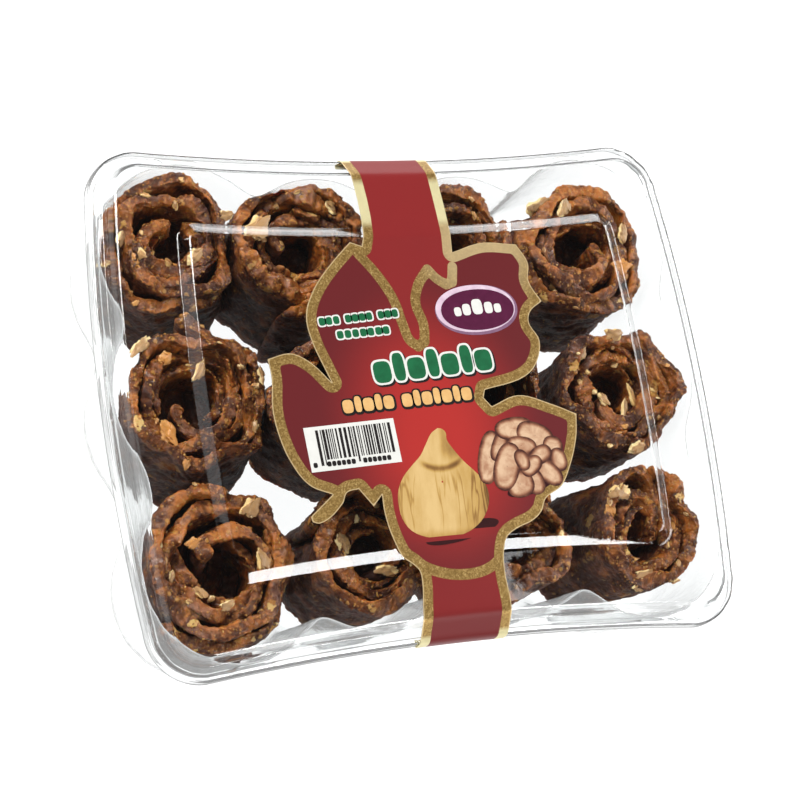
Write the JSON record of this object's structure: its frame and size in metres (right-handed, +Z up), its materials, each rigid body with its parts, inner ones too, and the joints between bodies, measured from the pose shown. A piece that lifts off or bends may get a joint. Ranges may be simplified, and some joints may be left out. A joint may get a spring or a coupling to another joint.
{
  "type": "clear pack of walnut fig rolls",
  "caption": "Shut clear plastic pack of spiral fig rolls with walnut pieces, in a lobed tray under a domed lid banded by a leaf-shaped paper label.",
  "frame": {"origin": "middle of the pack's underside, on the plane it rests on", "axes": "+X along the pack's long side, +Y along its short side away from the viewer, +Z up through the lid"},
  "size_m": [0.1966, 0.157, 0.0545],
  "materials": {
    "clear_tray": "glossy, clear",
    "clear_lid": "glossy, clear",
    "label_paper": "satin print with a gold edge",
    "fig_paste": "sticky, semi-gloss, with seeds and walnut pieces"
  },
  "bodies": {
    "root": {"tray": "clear_tray", "lid": "clear_lid", "label": "label_paper", "roll_r1c1": "fig_paste", "roll_r1c2": "fig_paste", "roll_r1c3": "fig_paste", "roll_r1c4": "fig_paste", "roll_r2c1": "fig_paste", "roll_r2c2": "fig_paste", "roll_r2c3": "fig_paste", "roll_r2c4": "fig_paste", "roll_r3c1": "fig_paste", "roll_r3c2": "fig_paste", "roll_r3c3": "fig_paste", "roll_r3c4": "fig_paste"}
  },
  "joints": []
}
